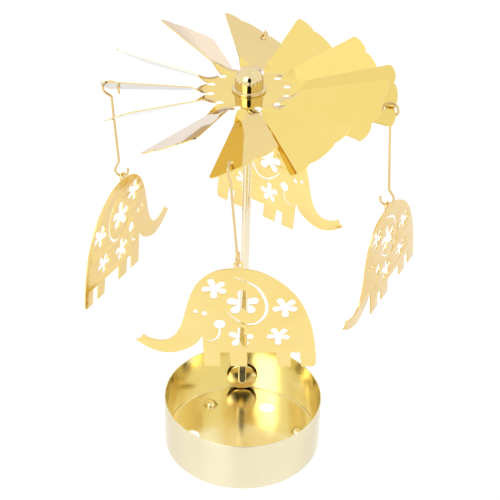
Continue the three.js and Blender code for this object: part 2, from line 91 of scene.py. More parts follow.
def mix_colours(tree, factor, first, second):
    """Mixes two colours, each either a colour or the output of a node."""
    node = tree.nodes.new("ShaderNodeMix")
    node.data_type = "RGBA"
    for socket, value in ((node.inputs[6], first), (node.inputs[7], second)):
        if hasattr(value, "is_output"):
            tree.links.new(value, socket)
        else:
            socket.default_value = (*value, 1)
    tree.links.new(factor, node.inputs[0])
    return node.outputs[2]


print("most of a noise lies between 0.3 and 0.7, so map_range stretches that part")

# %% Make a metal
tone_scale, smear_scale, dent_scale = 55.0, 240.0, 90.0
smear_detail, dent_detail = 5.0, 2.0
dent_strength, dent_depth = 0.02, 0.4 * MM


def make_metal(name, colour, deep, rough, outline_shade=()):
    """Polished metal: its colour drifts towards deep, and its roughness between the values of rough.
    Each entry of outline_shade is a stretch of the Facing value, and the darker colour painted over it:
    painted shade towards the outline."""
    material = bpy.data.materials.new(name)
    material.use_nodes = True
    tree = material.node_tree
    shader = tree.nodes["Principled BSDF"]
    shader.inputs["Metallic"].default_value = 1.0
    place = tree.nodes.new("ShaderNodeTexCoord").outputs["Object"]
    shown = mix_colours(tree, map_range(tree, noise(tree, place, tone_scale), 0, 1), colour, deep)
    if outline_shade:
        # painted shade: the base colour turns darker towards the outline
        facing = add_node(tree, "ShaderNodeLayerWeight", Blend=0.5).outputs["Facing"]
        for stretch, painted_shade_colour in outline_shade:
            shown = mix_colours(tree, map_range(tree, facing, 0, 1, *stretch), shown, painted_shade_colour)
    tree.links.new(shown, shader.inputs["Base Color"])
    smears = map_range(tree, noise(tree, place, smear_scale, smear_detail), *rough)
    tree.links.new(smears, shader.inputs["Roughness"])
    bump = add_node(tree, "ShaderNodeBump", Strength=dent_strength, Distance=dent_depth)
    tree.links.new(noise(tree, place, dent_scale, dent_detail), bump.inputs["Height"])
    tree.links.new(bump.outputs["Normal"], shader.inputs["Normal"])
    return material


print("clouds in a metre: tone %d, smears %d, dents %d" % (tone_scale, smear_scale, dent_scale))

# %% [markdown]
# The base colour is painted darker towards each surface's outline. It turns brown and then nearly black on
# the fan
# and the polished pieces: painted shade, standing in for the dark edges seen in the reflections. A coat
# layer could darken it too, but it adds a white sheen over the gold. Layer Weight's Facing value is 0 where
# a surface faces the eye and 1 at its outline, so the base colour itself is mixed by it.

# %% Mix the metals
# painted shade: each entry darkens the base colour over its stretch of Facing, towards the outline
dark_outline_shade = (((0.5, 0.74), (0.62, 0.44, 0.235)), ((0.76, 0.96), (0.17, 0.11, 0.08)))
pendant_outline_shade = (((0.35, 0.6), (0.76, 0.55, 0.225)),)
tray_outline_shade = (((0.45, 0.75), (0.66, 0.59, 0.41)),)
fan_metal = make_metal("fan brass", (0.855, 0.663, 0.218), (0.84, 0.64, 0.19), (0.03, 0.07), dark_outline_shade)
pendant_metal = make_metal("pendant brass", (0.90, 0.71, 0.28), (0.88, 0.675, 0.24), (0.14, 0.22),
                           pendant_outline_shade)
wire_metal = make_metal("wire brass", (0.75, 0.575, 0.30), (0.70, 0.505, 0.23), (0.12, 0.22))
polished_metal = make_metal("polished brass", (0.78, 0.64, 0.345), (0.75, 0.60, 0.30), (0.03, 0.06),
                            dark_outline_shade)
pole_metal = make_metal("pole brass", (0.84, 0.77, 0.60), (0.81, 0.71, 0.51), (0.06, 0.12))
tray_inside = make_metal("tray brass inside", (0.90, 0.80, 0.46), (0.88, 0.77, 0.42), (0.14, 0.2))
tray_outside = make_metal("tray brass outside", (0.80, 0.735, 0.53), (0.78, 0.705, 0.49), (0.14, 0.24),
                          tray_outline_shade)
steel = make_metal("bearing steel", (0.62, 0.62, 0.63), (0.52, 0.52, 0.54), (0.22, 0.34))
print("finishes:", [metal.name for metal in bpy.data.materials])

# %% [markdown]
# ## Tools for turned pieces
# Most of the round pieces are turned: a closed line, the section of one side, is spun about an axis. A
# cylinder with bevels would be quicker, but a section has every fillet at its true radius. The tools
# below draw arcs, spin a section, and make an object of a bmesh that was built in millimetres.

# %% Tools for arcs and turned sections
def polar(radius, degrees):
    return radius * math.cos(radians(degrees)), radius * math.sin(radians(degrees))


def arc(centre, radius, start, end, steps):
    """Points of an arc, as pairs."""
    turns = [start + (end - start) * i / steps for i in range(steps + 1)]
    return [(centre[0] + polar(radius, t)[0], centre[1] + polar(radius, t)[1]) for t in turns]


def turn_section(bm, section, steps):
    """Spins a closed section of (radius, height) pairs about the Z axis."""
    verts = [bm.verts.new((r, 0, z)) for r, z in section]
    edges = [bm.edges.new(pair) for pair in zip(verts, verts[1:])]
    bmesh.ops.spin(bm, geom=verts + edges, cent=(0, 0, 0), axis=(0, 0, 1), dvec=(0, 0, 0),
                   angle=2 * math.pi, steps=steps, use_merge=True, use_duplicate=False)
    bmesh.ops.remove_doubles(bm, verts=bm.verts, dist=TINY)


print("an arc in 2 steps:", [(round(x, 2), round(y, 2)) for x, y in arc((0, 0), 1, 0, 90, 2)])

# %% Tool to make an object
def add_object(name, bm, sharp=35):
    """Makes an object of a bmesh in millimetres, smooth but for edges of more than sharp degrees."""
    bmesh.ops.scale(bm, vec=(MM, MM, MM), verts=bm.verts)
    bmesh.ops.remove_doubles(bm, verts=bm.verts, dist=TINY * MM)
    bmesh.ops.recalc_face_normals(bm, faces=bm.faces)
    mesh = bpy.data.meshes.new(name)
    bm.to_mesh(mesh)
    bm.free()
    obj = bpy.data.objects.new(name, mesh)
    bpy.context.scene.collection.objects.link(obj)
    shade(mesh, sharp)
    return obj


def shade(mesh, sharp):
    mesh.shade_smooth()
    mesh.set_sharp_from_angle(angle=radians(sharp))


print("points closer than", TINY, "mm become one")

# %% [markdown]
# ## Tray
# The real tray is one disc of sheet, drawn into a cup: a flat floor, a tight corner, a straight wall and
# a smooth rim. A cylinder with Solidify would give the cup, but its corner and rim would still need bevels
# of their own. Spinning the sheet's whole section gives both sides, the corner and the rolled rim at once.
# The floor has close rings where the nubs will be, so that a nub has enough points to look round.

# %% Turn the tray
tray_radius, tray_height, tray_sheet = 32.5, 23.0, 0.5
inner_radius = tray_radius - tray_sheet
corner = 1.1
nub_radius, nub_height, nub_circle, nub_angles = 2.9, 2.2, 23.8, (125, 245, 5)
ring_reach, ring_step, ring_count = 3.4, 0.17, 41
nub_rings = [nub_circle - ring_reach + ring_step * i for i in range(ring_count)]
floor_rings = [0, 6, 12, 18] + nub_rings + [29]
wall_rings = [8, 16]
rim = (tray_radius - tray_sheet / 2, tray_height - tray_sheet / 2)
section = [(r, 0) for r in floor_rings]
section += arc((tray_radius - corner, corner), corner, -90, 0, 12)
section += [(tray_radius, z) for z in wall_rings]
section += arc(rim, tray_sheet / 2, 0, 180, 10)
section += [(inner_radius, z) for z in reversed(wall_rings)]
section += arc((tray_radius - corner, corner), corner - tray_sheet, 0, -90, 12)
section += [(r, tray_sheet) for r in reversed(floor_rings)]
bm = bmesh.new()
turn_section(bm, section, 360)
print("tray section:", len(section), "points")

# %% [markdown]
# Three nubs keep the tea light in the middle. They could be small domes joined to the floor, but a real
# nub is pressed from below, in the same sheet. So the floor's own points are lifted over the nub's
# radius, above and below alike, by a curve with a steep side and a round top.

# %% Press the nubs
side_power, top_power = 2.6, 0.8
for angle in nub_angles:
    nub = Vector((*polar(nub_circle, angle), 0))
    for v in bm.verts:
        away = (Vector((v.co.x, v.co.y, 0)) - nub).length / nub_radius
        if v.co.z < 2 * tray_sheet and away < 1:
            v.co.z += nub_height * (1 - away ** side_power) ** top_power
tray = add_object("tray_drawn", bm, 40)
print("tray with its nubs:", len(tray.data.polygons), "faces")

# %% [markdown]
# Three air holes feed the flame from below, and the pole's foot goes through the wall. Holes could be left
# open in the floor's own mesh, but then their rims would follow its rings. The sheet is closed on all
# sides, so a Boolean modifier with the exact solver cuts clean holes with a real wall. What it makes is
# kept as the plain mesh.

# %% Tools to cut a mesh
def bake(obj, sharp=35):
    """Keeps what the modifiers make as the plain mesh."""
    graph = bpy.context.evaluated_depsgraph_get()
    mesh = bpy.data.meshes.new_from_object(obj.evaluated_get(graph))
    obj.modifiers.clear()
    obj.data = mesh
    shade(mesh, sharp)


def combine(obj, others, operation, sharp=35):
    """Cuts the others away from obj, or joins them with it, and removes them."""
    for other in others:
        modifier = obj.modifiers.new(operation.lower(), "BOOLEAN")
        modifier.object = other
        modifier.operation = operation
        modifier.solver = "EXACT"
    bake(obj, sharp)
    for other in others:
        bpy.data.objects.remove(other)


def drill(radius, length, place):
    """A cutter: an upright cylinder about the origin, put in place by a matrix in millimetres."""
    bm = bmesh.new()
    bmesh.ops.create_cone(bm, cap_ends=True, segments=72, radius1=radius, radius2=radius, depth=length)
    bmesh.ops.transform(bm, matrix=place, verts=bm.verts)
    return add_object("cutter", bm)


cutter_length = 4
print("cutters are", cutter_length, "mm long, and the tray's sheet is", tray_sheet, "mm thick")

# %% Cut the tray's holes
air_hole_radius, air_hole_circle, air_hole_angles = 3.25, 21.1, (59, 181.5, 300)
washer_radius = 6.4
pole_radius = 1.75
foot_height = tray_sheet + GAP + washer_radius
foot_bore = pole_radius + GAP
upright_to_foot = Matrix.Rotation(radians(90), 4, "X")
askew = Matrix.Rotation(radians(1.3), 4, "Z")  # no point of the cutter meets a line of the wall
cutters = [drill(air_hole_radius, cutter_length, Matrix.Translation((*polar(air_hole_circle, a), 0)))
           for a in air_hole_angles]
cutters.append(drill(foot_bore, cutter_length, Matrix.Translation((0, inner_radius, foot_height))
                     @ upright_to_foot @ askew))
combine(tray, cutters, "DIFFERENCE", 40)
print("tray with its holes:", len(tray.data.polygons), "faces")

# %% [markdown]
# The tray's inside is a warmer gold than its outside. Two objects could have one finish each, but a drawn
# tray is one piece, so its faces are shared out between two finishes. Every finished piece is then hung
# from the body that carries it, and a printed line tells how far its box lies from its solid's.

# %% Tool to report on a finished piece
def report(obj, node):
    """Prints the piece's size, and how far its box lies from the box of its solid in the frame."""
    corners = [obj.matrix_world @ Vector(c) for c in obj.bound_box]
    lo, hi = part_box(node)
    off = max(max(abs(min(c[k] for c in corners) - lo[k]), abs(max(c[k] for c in corners) - hi[k]))
              for k in range(3))
    sizes = [v / MM for v in obj.dimensions]
    print("%s: %d faces, %.1f x %.1f x %.1f mm, box off by %.2f mm"
          % (obj.name, len(obj.data.polygons), *sizes, off / MM))


# %% Finish the tray
tray.data.materials.append(tray_inside)
tray.data.materials.append(tray_outside)
margin = 0.1
for face in tray.data.polygons:
    outward = face.normal.x * face.center.x + face.normal.y * face.center.y
    on_wall = math.hypot(face.center.x, face.center.y) > (inner_radius + margin) * MM
    on_rim = face.center.z > (tray_height - 3 * margin) * MM
    below = face.normal.z < -0.5 and not on_rim
    face.material_index = 1 if (on_wall and outward > 0) or below else 0
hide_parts("tray")
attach(tray, "stand")
report(tray, "tray")

# %% [markdown]
# ## Washer
# A domed washer spreads the nut's pull over the thin wall, and its polished front mirrors the whole tray.
# A flat bevelled disc would mirror only one spot. So its section has a shallow crown and a rolled edge,
# and it is spun and then laid down along the foot's axis.

# %% Turn the washer
to_foot = Matrix.Translation((0, 0, foot_height)) @ Matrix.Rotation(radians(-90), 4, "X")
washer_sheet, washer_crown, washer_edge = 0.8, 0.7, 0.55
back_chamfer, crown_steps = 0.1, 12
washer_back = math.sqrt((inner_radius - GAP) ** 2 - washer_radius ** 2)
flat_edge = washer_radius - washer_edge
section = [(foot_bore, washer_back)]
for i in range(crown_steps + 1):
    r = foot_bore + (flat_edge - foot_bore) * i / crown_steps
    section.append((r, washer_back - washer_sheet - washer_crown * (1 - (r / washer_radius) ** 2)))
section += arc((flat_edge, section[-1][1] + washer_edge), washer_edge, -70, 0, 12)
section += [(washer_radius - back_chamfer, washer_back), (foot_bore, washer_back)]
bm = bmesh.new()
turn_section(bm, section, 96)
bmesh.ops.transform(bm, matrix=to_foot, verts=bm.verts)
washer = add_object("washer", bm)
washer.data.materials.append(polished_metal)
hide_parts("foot_washer")
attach(washer, "stand")
report(washer, "foot_washer")

# %% [markdown]
# ## Cap nut
# Outside the wall a cap nut holds the foot's end. It is hidden in most views, but the rear view shows it.
# It is built as it is made: a six-sided bar with broken edges, a turned dome joined to it, and a blind
# bore. One spun section can't have the six sides, so the bar starts from a cone with six sides.

# %% Make the nut's bar
nut_corner, nut_length, nut_edge, dome_sunk = 3.75, 2.6, 0.22, 1
nut_front, nut_bore, nut_top = tray_radius + GAP, 3.6, 0.9
dome_radius = foot_bore + nut_top
dome_start, dome_centre = nut_front + dome_sunk, nut_front + nut_bore + nut_top - dome_radius
bm = bmesh.new()
bmesh.ops.create_cone(bm, cap_ends=True, segments=6, radius1=nut_corner, radius2=nut_corner,
                      depth=nut_length)
bmesh.ops.bevel(bm, geom=list(bm.edges), affect="EDGES", offset=nut_edge, segments=3, profile=0.5,
                material=-1)
bmesh.ops.translate(bm, vec=(0, 0, nut_front + nut_length / 2), verts=bm.verts)
bmesh.ops.transform(bm, matrix=to_foot, verts=bm.verts)
nut = add_object("nut", bm, 30)
print("nut's bar:", len(nut.data.polygons), "faces")

# %% Join the dome and drill the nut
dome = [(0, dome_start), (dome_radius, dome_start)] + arc((0, dome_centre), dome_radius, 20, 90, 14)
bm = bmesh.new()
turn_section(bm, dome, 72)
bmesh.ops.transform(bm, matrix=to_foot, verts=bm.verts)
combine(nut, [add_object("nut dome", bm, 30)], "UNION", 30)
place = Matrix.Translation((0, nut_front, foot_height)) @ upright_to_foot
combine(nut, [drill(foot_bore, nut_bore * 2, place)], "DIFFERENCE", 30)
nut.data.materials.append(polished_metal)
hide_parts("foot_nut")
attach(nut, "stand")
report(nut, "foot_nut")

# %% [markdown]
# ## Pole
# The pole is a 3.5 mm rod. Its foot is pressed flat in front and bent back through washer, wall and nut,
# and its top is drilled for the needle. A curve with a round bevel would give the bend, but not the flat
# or the drilled top. So one circle is extruded from station to station along the rod, and each station
# has its own ring of points.

# %% Tools to sweep a ring along a line
def ring(centre, radius, across, along, count=40):
    """Points of a circle round a centre, in the plane of two directions."""
    turns = [2 * math.pi * i / count for i in range(count)]
    return [Vector(centre) + Vector(across) * radius * math.cos(t) + Vector(along) * radius * math.sin(t)
            for t in turns]


def loop_edges(bm, row):
    return [bm.edges.get(pair) for pair in zip(row, row[1:] + row[:1])]


def sweep(bm, stations):
    """Extrudes a circle from one ring of points to the next, and closes both ends."""
    row = bmesh.ops.create_circle(bm, cap_ends=True, segments=len(stations[0]), radius=1)["verts"]
    for number, points in enumerate(stations):
        if number:
            made = bmesh.ops.extrude_edge_only(bm, edges=loop_edges(bm, row))["geom"]
            fresh = {v for v in made if isinstance(v, bmesh.types.BMVert)}
            row = [next(e.other_vert(v) for e in v.link_edges if e.other_vert(v) in fresh) for v in row]
        for v, point in zip(row, points):
            v.co = point
    bmesh.ops.edgeloop_fill(bm, edges=loop_edges(bm, row))


square = ring((0, 0, 0), 1, (1, 0, 0), (0, 1, 0), 4)
print("a ring of 4 points:", [tuple(round(v) for v in p) for p in square])

# %% Measure the pole
pole_to_wall = 5.5
pole_y = inner_radius - pole_to_wall
bend_radius = 3.0
fan_height, fan_sheet = 150.4, 0.4
cap_radius, cap_wall, cap_rise = 5.4, 0.5, 3.7
cap_inner = cap_radius - cap_wall
cap_bottom = fan_height + fan_sheet / 2 + GAP
needle_below_cap, needle_point = 3.6, 1.6
pole_top = cap_bottom + cap_rise + cap_inner - needle_below_cap - needle_point
needle_bore, needle_depth, top_chamfer = 0.9, 3.3, 0.2
foot_end = nut_front + nut_bore - GAP
print("pole from z = %.1f to %.1f mm" % (foot_height, pole_top))

# %% Sweep the pole
level = ((1, 0, 0), (0, 1, 0))
flat_top, flat_depth = 22.0, 0.9
shank_steps, flat_steps, bend_steps = 10, 8, 12
stations = [ring((0, pole_y, pole_top - needle_depth), needle_bore, *level),
            ring((0, pole_y, pole_top), needle_bore, *level),
            ring((0, pole_y, pole_top), pole_radius - top_chamfer, *level),
            ring((0, pole_y, pole_top - top_chamfer), pole_radius, *level)]
for i in range(1, shank_steps + 1):
    z = pole_top - (pole_top - flat_top) * i / shank_steps
    stations.append(ring((0, pole_y, z), pole_radius, *level))
for i in range(1, flat_steps):
    z = flat_top - (flat_top - foot_height - bend_radius) * i / flat_steps
    front = pole_y - pole_radius + flat_depth * min(1, i / 3)
    stations.append([Vector((p.x, max(p.y, front), p.z)) for p in ring((0, pole_y, z), pole_radius, *level)])
for i in range(bend_steps + 1):
    c, s = polar(1, 90 * i / bend_steps)
    centre = (0, pole_y + bend_radius - bend_radius * c, foot_height + bend_radius - bend_radius * s)
    bent = ring(centre, pole_radius, (1, 0, 0), (0, c, s))
    stations.append([Vector((p.x, max(p.y, front), p.z)) for p in bent])
stations.append(ring((0, foot_end, foot_height), pole_radius, (1, 0, 0), (0, 0, 1)))
bm = bmesh.new()
sweep(bm, stations)
pole = add_object("pole_bent", bm)
pole.data.materials.append(pole_metal)
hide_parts("pole")
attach(pole, "stand")
report(pole, "pole")

# %% [markdown]
# ## Cap
# The cap is a dome drawn from sheet, with a small flange that lies on the fan. It sits over the needle and
# is the brightest mirror on the carousel. A sphere cut in half would lack the straight neck, the fillet
# and the flange's round edge, and these catch the thin dark and bright lines. So it is spun from its
# section. The fan's first blade points a little away from X, and to_rotor turns all that rides on it.

# %% Turn the cap
fan_turn = -2.4


def to_rotor(extra=Matrix.Identity(4)):
    """From the fan's own frame, with blade 0 along X, to the object's frame."""
    return Matrix.Translation((0, pole_y, 0)) @ Matrix.Rotation(radians(fan_turn), 4, "Z") @ extra


flange_radius, flange_thick = 6.55, 0.6
lower_edge, upper_edge, fillet, neck_height = 0.2, 0.25, 0.35, 2.4
cap_above_sheet = 0.03
cap_seat = fan_height + fan_sheet / 2 + cap_above_sheet
cap_centre = (0, cap_bottom + cap_rise)
flange_top = cap_bottom + flange_thick
section = [(cap_inner, cap_seat)]
section += arc((flange_radius - lower_edge, cap_seat + lower_edge), lower_edge, -90, 0, 4)
section += arc((flange_radius - upper_edge, flange_top - upper_edge), upper_edge, 0, 90, 5)
section += arc((cap_radius + fillet, flange_top + fillet), fillet, -90, -180, 6)
section += [(cap_radius, cap_bottom + neck_height)] + arc(cap_centre, cap_radius, 0, 90, 30)
section += arc(cap_centre, cap_inner, 90, 0, 20) + [(cap_inner, cap_seat)]
bm = bmesh.new()
turn_section(bm, section, 128)
bmesh.ops.transform(bm, matrix=to_rotor(), verts=bm.verts)
cap = add_object("cap_drawn", bm)
cap.data.materials.append(polished_metal)
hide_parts("hub_cap")
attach(cap, "rotor")
report(cap, "hub_cap")

# %% [markdown]
# ## Bush
# The bush comes up through the fan from below and grips the cap from inside, so the sheet is held between
# two flanges. Only its lower flange shows, from below. It is turned like the cap, and its height is read
# from its solid, so that it always reaches as far into the cap.

# %% Turn the bush
lo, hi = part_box("hub_bush")
bush_low, bush_high = lo.z / MM, hi.z / MM
bush_wall, bush_flange, bush_chamfer = 0.6, 6, 0.15
bush_outer = cap_inner - GAP
bush_bore = bush_outer - bush_wall
bush_lower_edge, bush_upper_edge = 0.2, 0.1
under_sheet = fan_height - fan_sheet / 2 - GAP
section = [(bush_bore, bush_low)]
section += arc((bush_flange - bush_lower_edge, bush_low + bush_lower_edge), bush_lower_edge, -90, 0, 4)
section += arc((bush_flange - bush_upper_edge, under_sheet - bush_upper_edge), bush_upper_edge, 0, 90, 3)
section += [(bush_outer, under_sheet), (bush_outer, bush_high - bush_chamfer),
            (bush_outer - bush_chamfer, bush_high), (bush_bore, bush_high), (bush_bore, bush_low)]
bm = bmesh.new()
turn_section(bm, section, 96)
bmesh.ops.transform(bm, matrix=to_rotor(), verts=bm.verts)
bush = add_object("bush_turned", bm)
bush.data.materials.append(polished_metal)
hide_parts("hub_bush")
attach(bush, "rotor")
report(bush, "hub_bush")

# %% [markdown]
# ## Fan
# The fan is one disc of thin sheet. Twelve slits run in from its edge to round relief holes, and each blade
# is then twisted 30 degrees at its neck and bent a little by hand. Twelve loose blades on a disc would
# show seams, and a Simple Deform modifier twists a whole piece, not just a neck. So each twelfth of the
# sheet is a flat grid, its points go where the flat blade has them, and one rule bends them.

# %% Measure the fan and bend a point
disc_radius, relief, slit = 14.9, 1.5, 1.0
blade_tip, scallop = 56.4, 1.5
neck_start, twist_length, pitch = 13.2, 7.6, 30.0
lifts = (0, -1, -1.3, 0, 3, -1.5, 0, 2, 2, 0, 2, 11)
twists = (0, 0, 1, 0, 0, 5, 3, 2.8, 0, 0, 0, 0)
sideways = (0, 0, -1.9, 0, 0, 0, 0, 0, 0, 0, 0, 0)
blade_count = len(lifts)
half_step = 180 / blade_count


def bend_point(x, y, lift, turned, side):
    """Where a point of the flat blade goes when the blade is twisted, lifted and turned sideways."""
    along = min(1, max(0, (x - disc_radius) / twist_length))
    twist = radians((pitch + turned) * along * along * (3 - 2 * along))
    y, z = y * math.cos(twist), y * math.sin(twist)
    reach = max(0, x - neck_start)
    rise = radians(lift) if reach > 0 else 0
    swing = radians(side) if reach > 0 else 0
    outward = reach * math.cos(rise) - z * math.sin(rise)
    return (min(x, neck_start) + outward * math.cos(swing) - y * math.sin(swing),
            outward * math.sin(swing) + y * math.cos(swing), reach * math.sin(rise) + z * math.cos(rise))


print("a blade's straight tip after bending:", [round(v, 1) for v in bend_point(blade_tip, 5, 0, 0, 0)])

# %% [markdown]
# The grid's rows run from the hub outwards and its columns across the blade. Inside the slits' ends the
# sheet is whole. Around a relief hole its width follows the hole, and further out it follows the slit. The
# last row lies on the blade's outer edge: three scallops, of which the middle one is wider.

# %% Lay out the flat sheet
scallops = ((-0.71, 0.29, 8), (0, 0.42, 12), (0.71, 0.29, 8))
fan_bore = bush_outer + GAP
relief_steps, blade_rows, row_growth = 14, 36, 1.15
hub_rows = [fan_bore, 6, 7.5, 9, 10.5, 12, 12.8]
hub_rows += [disc_radius - relief * math.cos(math.pi * i / relief_steps) for i in range(relief_steps + 1)]
columns = []
for centre, width, steps in scallops:
    for i in range(steps + (centre > 0.5)):
        across = -math.cos(math.pi * i / steps)
        edge = blade_tip - scallop + scallop * math.sqrt(max(0, 1 - across * across))
        columns.append((centre + width * across, edge))


def half_angle(r):
    """Half of the sheet's width at a radius, in degrees."""
    hole = 0.0
    if abs(r - disc_radius) < relief:
        hole = math.acos(min(1, (r * r + disc_radius ** 2 - relief ** 2) / (2 * r * disc_radius)))
    gap = math.asin(slit / 2 / r) if r > disc_radius else 0
    return half_step - math.degrees(max(hole, gap))


def flat_point(row, column):
    across, edge = columns[column]
    if row < len(hub_rows):
        r = hub_rows[row]
    else:
        share = (row - len(hub_rows) + 1) / blade_rows
        r = hub_rows[-1] + (edge - hub_rows[-1]) * share ** row_growth
    return polar(r, half_angle(r) * across)


last_row, last_column = len(hub_rows) + blade_rows - 1, len(columns) - 1
print("each blade:", last_row + 1, "rows of", last_column + 1, "points")

# %% [markdown]
# Each grid starts one unit wide, so a point's own coordinates tell its row and its column. The twelve grids
# share their edges in the disc, and there their points are merged. The sheet gets its thickness only
# after the bending, with Solidify, which keeps it even in the twisted necks.

# %% Stamp and bend the fan
bm = bmesh.new()
for number, bends in enumerate(zip(lifts, twists, sideways)):
    turn = Matrix.Rotation(radians(2 * half_step * number), 4, "Z")
    grid = bmesh.ops.create_grid(bm, x_segments=last_row, y_segments=last_column, size=0.5)["verts"]
    for v in grid:
        row, column = round((v.co.x + 0.5) * last_row), round((v.co.y + 0.5) * last_column)
        v.co = turn @ Vector(bend_point(*flat_point(row, column), *bends))
bmesh.ops.remove_doubles(bm, verts=bm.verts, dist=TINY)
bmesh.ops.recalc_face_normals(bm, faces=bm.faces)
on_fan = to_rotor(Matrix.Translation((0, 0, fan_height)))
bmesh.ops.transform(bm, matrix=on_fan, verts=bm.verts)
fan = add_object("fan_stamped", bm, 30)
sheet = fan.modifiers.new("sheet", "SOLIDIFY")
sheet.thickness = fan_sheet * MM
sheet.offset = 0
sheet.use_even_offset = True
bake(fan, 30)
print("fan sheet:", len(fan.data.vertices), "points")

# %% [markdown]
# Every third blade has a hole for a hook, close to the notch between two scallops. The hole's place is
# first worked out on the flat blade and then tilted with it, and the hooks hang from the same place.

# %% Cut the hook holes
hook_hole, hole_from_notch = 1.25, 4.2
half_tip = half_step - math.degrees(math.asin(slit / 2 / blade_tip))
notch = -scallops[1][1] * half_tip
quarter = 90


def hole_place(number):
    """A hook's hole: its middle in the sheet, turned and tilted with its blade."""
    along, across = polar(blade_tip - scallop - hole_from_notch, notch)
    tilt = radians(pitch + twists[3 * number])
    return Matrix.Rotation(radians(quarter * number), 4, "Z") @ Matrix.Translation(
        (along, across * math.cos(tilt), across * math.sin(tilt))) @ Matrix.Rotation(tilt, 4, "X")


cutters = [drill(hook_hole, cutter_length, on_fan @ hole_place(i)) for i in range(4)]
combine(fan, cutters, "DIFFERENCE", 30)
fan.data.materials.append(fan_metal)
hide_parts("fan_rotor")
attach(fan, "rotor")
report(fan, "fan_rotor")

# %% [markdown]
# ## Where the pendants hang
# In the photograph each hook leans a little, and each elephant has turned its own way, because loose
# wire in a loose hole never hangs dead plumb. Each hook is made upright about its hole first. The places
# below then sway it in the hole and hang the elephant in its crook, in the order of the joints.

# %% Place the hooks and the elephants
sides = ("right", "back", "left", "front")
swings, leans = (4, -6, -4, 2.5), (-8, -8, 0, 5.8)
turns, rocks = (-26.5, -36, -24, 3), (5.5, 0.5, 2, 0)
wire, loop = 0.5, 3.05
loop_rise, hook_drop = 1.8, 41.9
hook_top = fan_sheet / 2 + loop_rise
hook_bottom = hook_top - hook_drop
crook_at, crook = 2.4, 2.6
tab_hole = 1.1
rest = Vector((loop, 0, fan_sheet / 2 + 2 * GAP))


def hook_place(number):
    hole = Matrix.Translation(hole_place(number).to_translation())
    return on_fan @ hole @ Matrix.Rotation(radians(quarter * number + notch), 4, "Z")


def sway(number):
    """Leans and swings a hook about the spot where its loop rests in the hole."""
    lean, swing = radians(leans[number]), radians(-swings[number])
    turned = Matrix.Rotation(lean, 4, "X") @ Matrix.Rotation(swing, 4, "Y")
    return Matrix.Translation(rest - turned @ rest) @ turned


def elephant_place(number):
    tab = sway(number) @ Vector((crook_at, 0, hook_bottom)) + Vector((0, 0, GAP + wire - tab_hole))
    return Matrix.Translation(tab) @ Matrix.Rotation(radians(90 - notch + turns[number]), 4, "Z") \
        @ Matrix.Rotation(radians(-rocks[number]), 4, "Y")


for number, side in enumerate(sides):
    spot = hook_place(number).to_translation()
    print(side, "hook hangs at", [round(v, 1) for v in spot])

# %% [markdown]
# ## Hooks
# Each hook is one piece of 1 mm wire, bent round pins: a loop through the blade, a long shank and a crook
# for the elephant's tab. A curve with a bevel would be quick, but its ends would be sharp discs. So a
# smooth line is drawn through the bends, a ring is swept along it, and both ends are rounded off, as
# on a wire that was cut and tumbled.

# %% Draw the hook's line
shank, shank_bend, shank_drop = 3.1, 1.0, 6.6
upper_tail, lower_tail, crook_height = 3.2, 3.7, 6.8
shank_bottom = hook_bottom + crook_height


def smooth_line(points, steps):
    """A smooth line through the points, spaced by the root of their distance."""
    points = [Vector(p) for p in points]
    line = []
    for i in range(len(points) - 1):
        p1, p2 = points[i], points[i + 1]
        p0 = points[i - 1] if i else p1 * 2 - p2
        p3 = points[i + 2] if i + 2 < len(points) else p2 * 2 - p1
        gaps = [math.sqrt((b - a).length) for a, b in ((p0, p1), (p1, p2), (p2, p3))]
        start = ((p1 - p0) / gaps[0] - (p2 - p0) / (gaps[0] + gaps[1]) + (p2 - p1) / gaps[1]) * gaps[1]
        end = ((p2 - p1) / gaps[1] - (p3 - p1) / (gaps[1] + gaps[2]) + (p3 - p2) / gaps[2]) * gaps[1]
        for k in range(steps):
            t = k / steps
            line.append(p1 * (2 * t ** 3 - 3 * t * t + 1) + start * (t ** 3 - 2 * t * t + t)
                        + p2 * (3 * t * t - 2 * t ** 3) + end * (t ** 3 - t * t))
    return line + [points[-1]]


route = [(0, -upper_tail)] + arc((loop, hook_top - loop), loop, 180, -20, 8)
route += [(shank, hook_top - shank_drop), (shank, hook_top - shank_drop - shank_bend),
          (shank, (hook_top + hook_bottom) / 2), (shank, shank_bottom + shank_bend), (shank, shank_bottom)]
route += arc((crook_at, hook_bottom + crook), crook, 30, -180, 10)
route += [(crook_at - crook, hook_bottom + lower_tail)]
line = smooth_line([(x, 0, z) for x, z in route], 6)
print("wire in each hook: %.1f mm" % sum((b - a).length for a, b in zip(line, line[1:])))

# %% Sweep the hooks
end_share, end_round = 0.55, 0.22


def middle(points):
    return sum(points, Vector()) / len(points)


def round_end(stations, first, second):
    """Draws the first ring back towards the second, and gives a smaller ring at its old place."""
    tip = middle(stations[first])
    back = (middle(stations[second]) - tip).normalized()
    rounded = [tip + (p - tip) * end_share for p in stations[first]]
    stations[first] = [p + back * end_round for p in stations[first]]
    return rounded


for number, side in enumerate(sides):
    place = hook_place(number) @ sway(number)
    stations = []
    for i, p in enumerate(line):
        ahead = (line[min(i + 1, len(line) - 1)] - line[max(i - 1, 0)]).normalized()
        across = ahead.cross(Vector((0, 1, 0)))
        stations.append([place @ q for q in ring(p, wire, across, (0, 1, 0), 20)])
    top, bottom = round_end(stations, 0, 1), round_end(stations, -1, -2)
    bm = bmesh.new()
    sweep(bm, [top] + stations + [bottom])
    hook = add_object("wire_" + side, bm)
    hook.data.materials.append(wire_metal)
    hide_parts("hook_" + side)
    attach(hook, "hook_" + side)
    report(hook, "hook_" + side)

# %% [markdown]
# ## Elephants
# The elephants are flat stampings of 0.5 mm sheet, pierced with flowers, two eyes, an ear line and a cheek
# that runs into a smile. A mesh cut with a dozen Booleans would be slow and leave thin faces. A flat
# curve instead takes the outline and every hole in one fill, and its small bevel rounds their edges, as
# polishing does. The outline's points are shares of the length, from the trunk's tip to the rear, and of
# the height, from the feet to the back.

